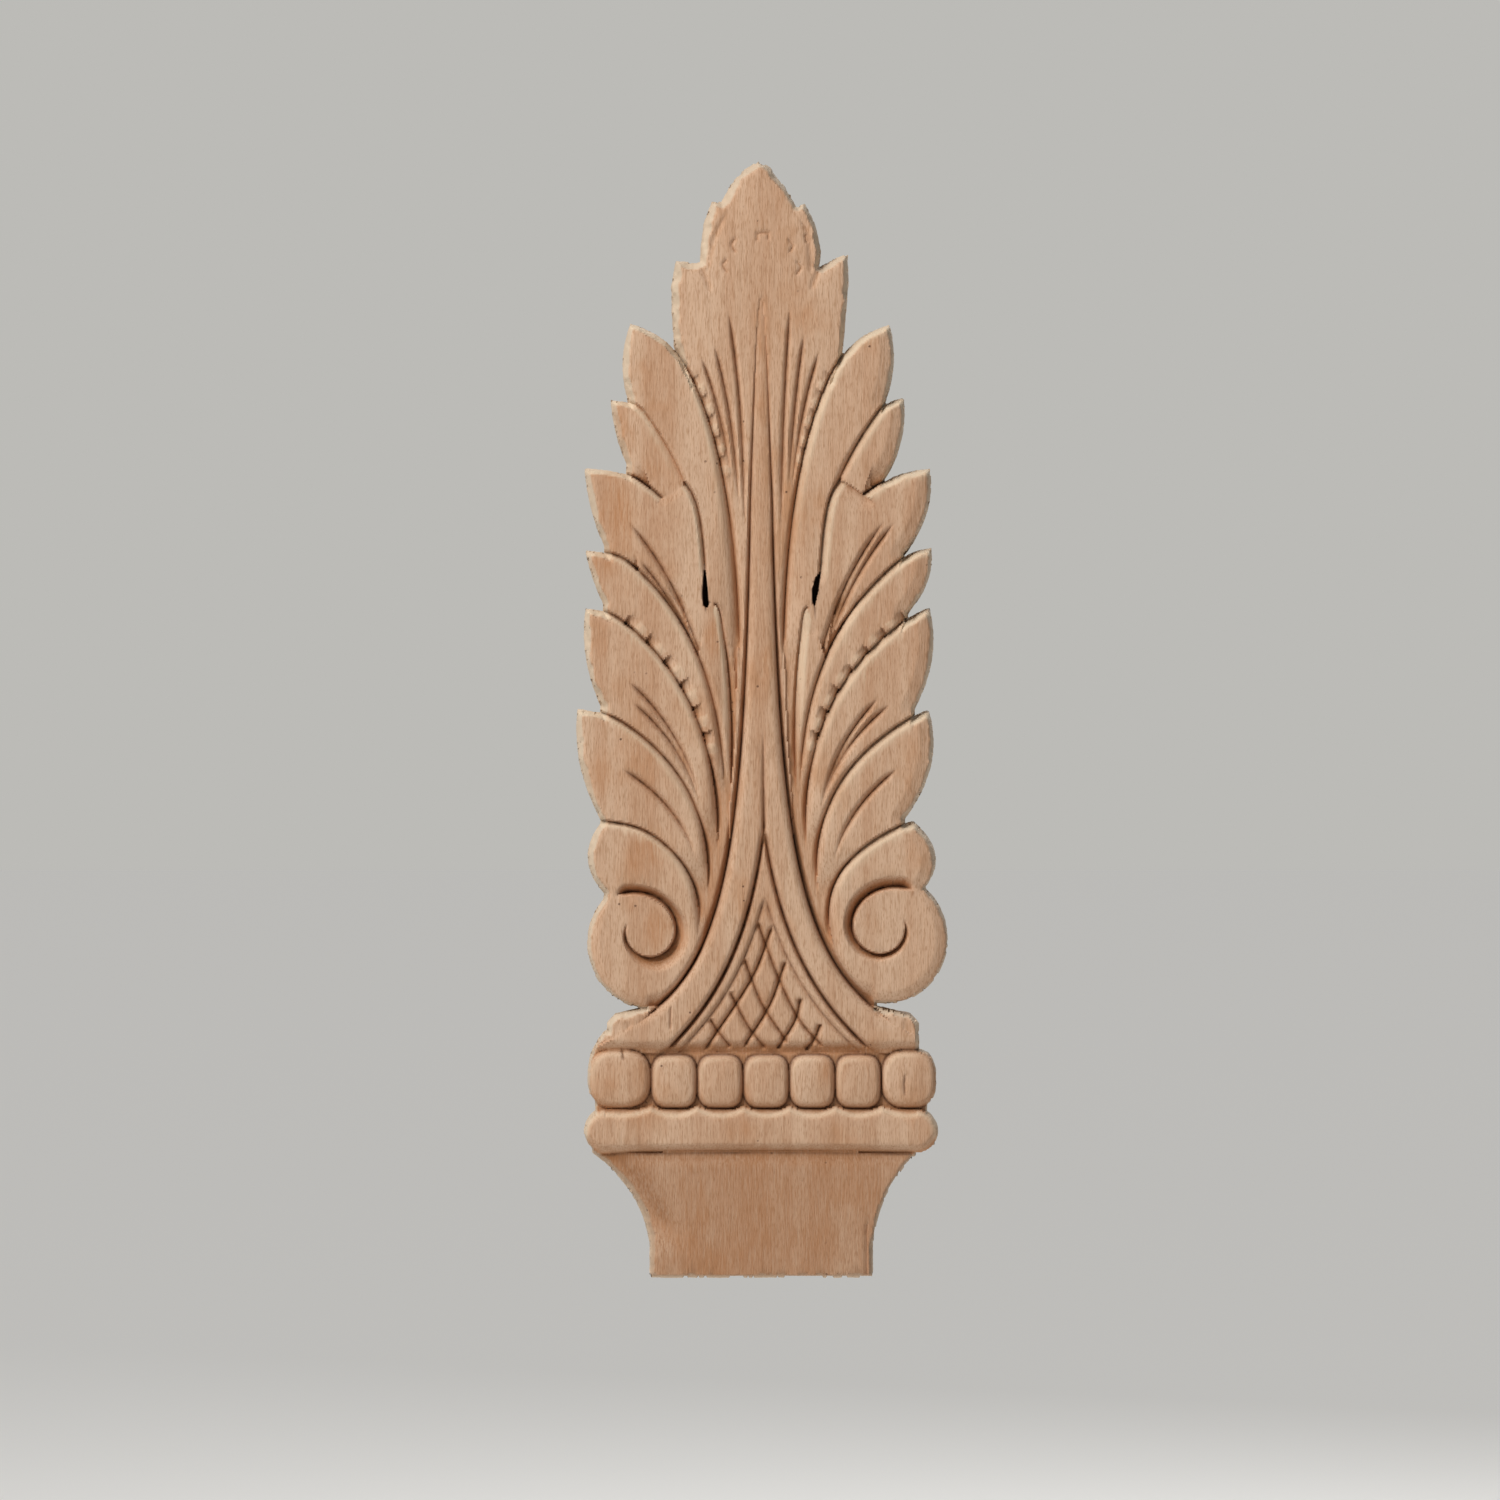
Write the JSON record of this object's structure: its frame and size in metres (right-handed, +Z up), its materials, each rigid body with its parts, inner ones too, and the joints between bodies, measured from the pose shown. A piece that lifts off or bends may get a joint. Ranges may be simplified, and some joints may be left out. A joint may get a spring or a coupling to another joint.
{
  "type": "wood applique",
  "caption": "Flat-backed carved wooden onlay: a tall acanthus leaf over two scrolls, a lattice, a row of beads, a rounded moulding and a tapered foot.",
  "frame": {"origin": "middle of the flat back, on the leaf's axis and half way between the bottom edge and the tip", "axes": "+Z up to the leaf's tip, the carved face looks to -Y, the flat back lies in the plane y = 0 and faces +Y"},
  "size_m": [0.0697, 0.0085, 0.2096],
  "materials": {
    "wood": "raw, unfinished, as it left the carving tool"
  },
  "bodies": {
    "root": {"applique": "wood"}
  },
  "joints": []
}
